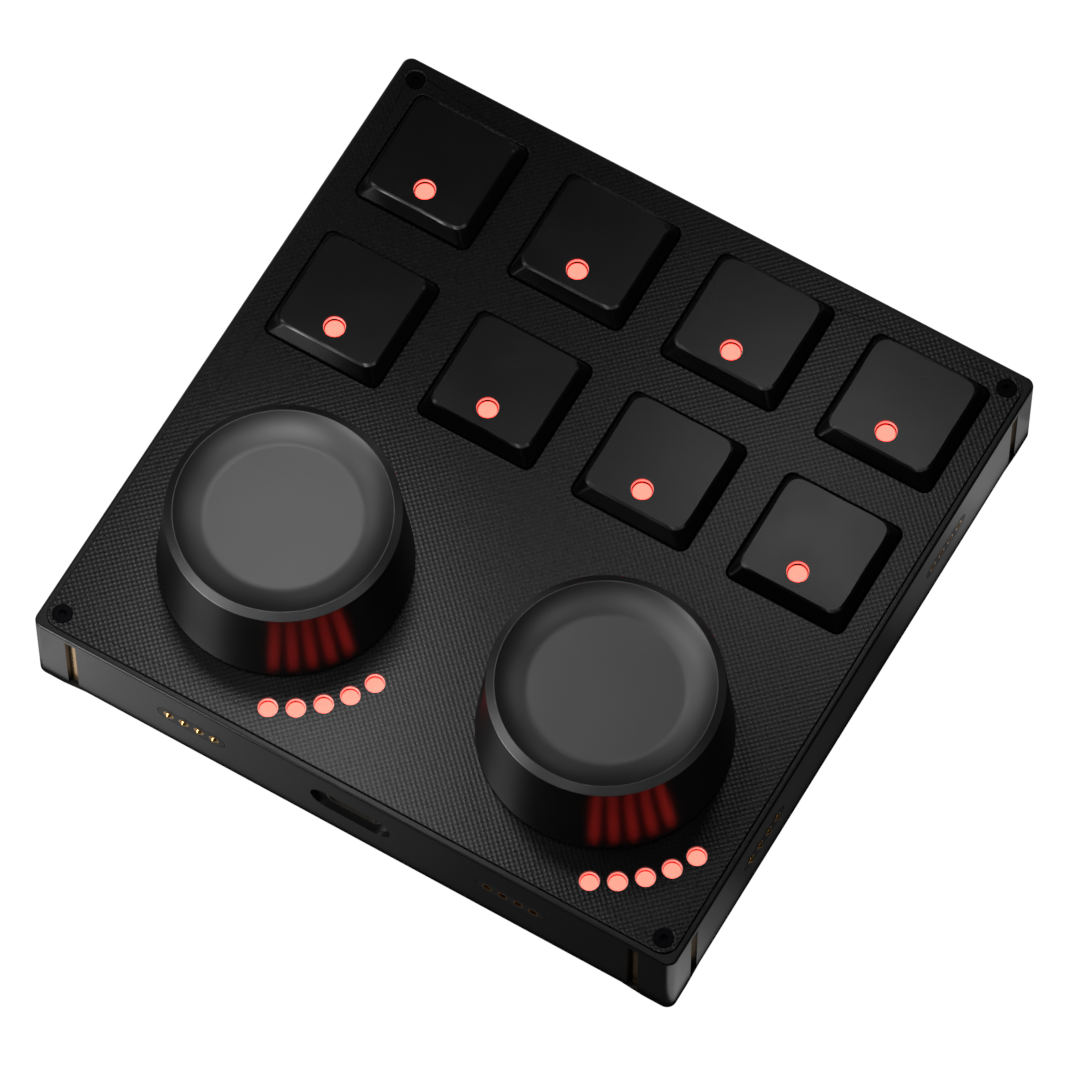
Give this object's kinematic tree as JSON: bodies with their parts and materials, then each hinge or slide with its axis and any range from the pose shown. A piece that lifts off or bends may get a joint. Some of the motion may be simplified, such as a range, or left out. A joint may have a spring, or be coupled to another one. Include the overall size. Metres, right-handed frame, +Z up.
{
  "type": "midi controller",
  "caption": "Square desktop music control module with backlit keys, endless knobs, arcs of lights, side contacts, side magnets and a data socket.",
  "frame": {"origin": "middle of the case at the height of the surface that the feet rest on", "axes": "+Z up, the socket's side faces -Y, +X to the right seen from that side"},
  "size_m": [0.1076, 0.1076, 0.0333],
  "materials": {
    "case_black": "fine satin moulded black",
    "plate_laminate": "black woven glass laminate, satin",
    "key_black": "fine satin moulded black",
    "lens_lit": "milky, lit from below",
    "guide_milky": "milky, lit from below",
    "knob_black": "glossy black side and bevels, satin dish",
    "slider_red": "moulded, satin",
    "moulded_black": "moulded, satin",
    "spring_steel": "bright wire",
    "screw_steel": "black oxide",
    "plated_steel": "nickel plate, satin",
    "socket_steel": "nickel plate, satin",
    "gold_plate": "gold plate, bright",
    "magnet_gold": "gold-coloured plate, bright",
    "board_green": "solder mask",
    "led_epoxy": "cast, clear top",
    "foot_rubber": "moulded, dull"
  },
  "bodies": {
    "case": {"bottom_cover": "case_black", "rubber_feet": "foot_rubber", "side_frame": "case_black", "faceplate": "plate_laminate", "case_screws": "screw_steel", "main_board": "board_green", "board_leds": "led_epoxy", "usb_shell": "socket_steel", "usb_tongue": "moulded_black", "contact_blocks": "moulded_black", "contact_barrels": "gold_plate", "magnets": "magnet_gold", "switch_bases": "moulded_black", "switch_tops": "moulded_black", "encoder_nuts": "plated_steel", "light_guides": "guide_milky", "encoder_body_left": "plated_steel", "encoder_body_right": "plated_steel", "key_spring_1": "spring_steel", "key_spring_2": "spring_steel", "key_spring_3": "spring_steel", "key_spring_4": "spring_steel", "key_spring_5": "spring_steel", "key_spring_6": "spring_steel", "key_spring_7": "spring_steel", "key_spring_8": "spring_steel"},
    "key_1": {"keycap_1": "key_black", "key_stem_1": "slider_red", "key_lens_1": "lens_lit"},
    "key_2": {"keycap_2": "key_black", "key_stem_2": "slider_red", "key_lens_2": "lens_lit"},
    "key_3": {"keycap_3": "key_black", "key_stem_3": "slider_red", "key_lens_3": "lens_lit"},
    "key_4": {"keycap_4": "key_black", "key_stem_4": "slider_red", "key_lens_4": "lens_lit"},
    "key_5": {"keycap_5": "key_black", "key_stem_5": "slider_red", "key_lens_5": "lens_lit"},
    "key_6": {"keycap_6": "key_black", "key_stem_6": "slider_red", "key_lens_6": "lens_lit"},
    "key_7": {"keycap_7": "key_black", "key_stem_7": "slider_red", "key_lens_7": "lens_lit"},
    "key_8": {"keycap_8": "key_black", "key_stem_8": "slider_red", "key_lens_8": "lens_lit"},
    "dial_left": {"knob_left": "knob_black", "knob_insert_left": "moulded_black", "encoder_shaft_left": "plated_steel"},
    "dial_right": {"knob_right": "knob_black", "knob_insert_right": "moulded_black", "encoder_shaft_right": "plated_steel"},
    "pins_front": {"contact_pins_front": "gold_plate"},
    "pins_right": {"contact_pins_right": "gold_plate"},
    "pins_back": {"contact_pins_back": "gold_plate"},
    "pins_left": {"contact_pins_left": "gold_plate"}
  },
  "joints": [
    {"name": "key_1_press", "type": "slide", "parent": "case", "child": "key_1", "axis": [0, 0, -1], "range_m": [0, 0.0025], "stiffness_N_per_m": 150, "springref_m": -0.002, "deforming": ["key_spring_1"]},
    {"name": "key_2_press", "type": "slide", "parent": "case", "child": "key_2", "axis": [0, 0, -1], "range_m": [0, 0.0025], "stiffness_N_per_m": 150, "springref_m": -0.002, "deforming": ["key_spring_2"]},
    {"name": "key_3_press", "type": "slide", "parent": "case", "child": "key_3", "axis": [0, 0, -1], "range_m": [0, 0.0025], "stiffness_N_per_m": 150, "springref_m": -0.002, "deforming": ["key_spring_3"]},
    {"name": "key_4_press", "type": "slide", "parent": "case", "child": "key_4", "axis": [0, 0, -1], "range_m": [0, 0.0025], "stiffness_N_per_m": 150, "springref_m": -0.002, "deforming": ["key_spring_4"]},
    {"name": "key_5_press", "type": "slide", "parent": "case", "child": "key_5", "axis": [0, 0, -1], "range_m": [0, 0.0025], "stiffness_N_per_m": 150, "springref_m": -0.002, "deforming": ["key_spring_5"]},
    {"name": "key_6_press", "type": "slide", "parent": "case", "child": "key_6", "axis": [0, 0, -1], "range_m": [0, 0.0025], "stiffness_N_per_m": 150, "springref_m": -0.002, "deforming": ["key_spring_6"]},
    {"name": "key_7_press", "type": "slide", "parent": "case", "child": "key_7", "axis": [0, 0, -1], "range_m": [0, 0.0025], "stiffness_N_per_m": 150, "springref_m": -0.002, "deforming": ["key_spring_7"]},
    {"name": "key_8_press", "type": "slide", "parent": "case", "child": "key_8", "axis": [0, 0, -1], "range_m": [0, 0.0025], "stiffness_N_per_m": 150, "springref_m": -0.002, "deforming": ["key_spring_8"]},
    {"name": "dial_left_turn", "type": "hinge", "parent": "case", "child": "dial_left", "pos_m": [-0.02669, -0.02635, 0.01672], "axis": [0, 0, 1], "continuous": true},
    {"name": "dial_right_turn", "type": "hinge", "parent": "case", "child": "dial_right", "pos_m": [0.02669, -0.02635, 0.01672], "axis": [0, 0, 1], "continuous": true},
    {"name": "pins_front_press", "type": "slide", "parent": "case", "child": "pins_front", "axis": [0, 1, 0], "range_m": [0, 0.0004], "stiffness_N_per_m": 800, "springref_m": -0.0006},
    {"name": "pins_right_press", "type": "slide", "parent": "case", "child": "pins_right", "axis": [-1, 0, 0], "range_m": [0, 0.0004], "stiffness_N_per_m": 800, "springref_m": -0.0006},
    {"name": "pins_back_press", "type": "slide", "parent": "case", "child": "pins_back", "axis": [0, -1, 0], "range_m": [0, 0.0004], "stiffness_N_per_m": 800, "springref_m": -0.0006},
    {"name": "pins_left_press", "type": "slide", "parent": "case", "child": "pins_left", "axis": [1, 0, 0], "range_m": [0, 0.0004], "stiffness_N_per_m": 800, "springref_m": -0.0006}
  ]
}
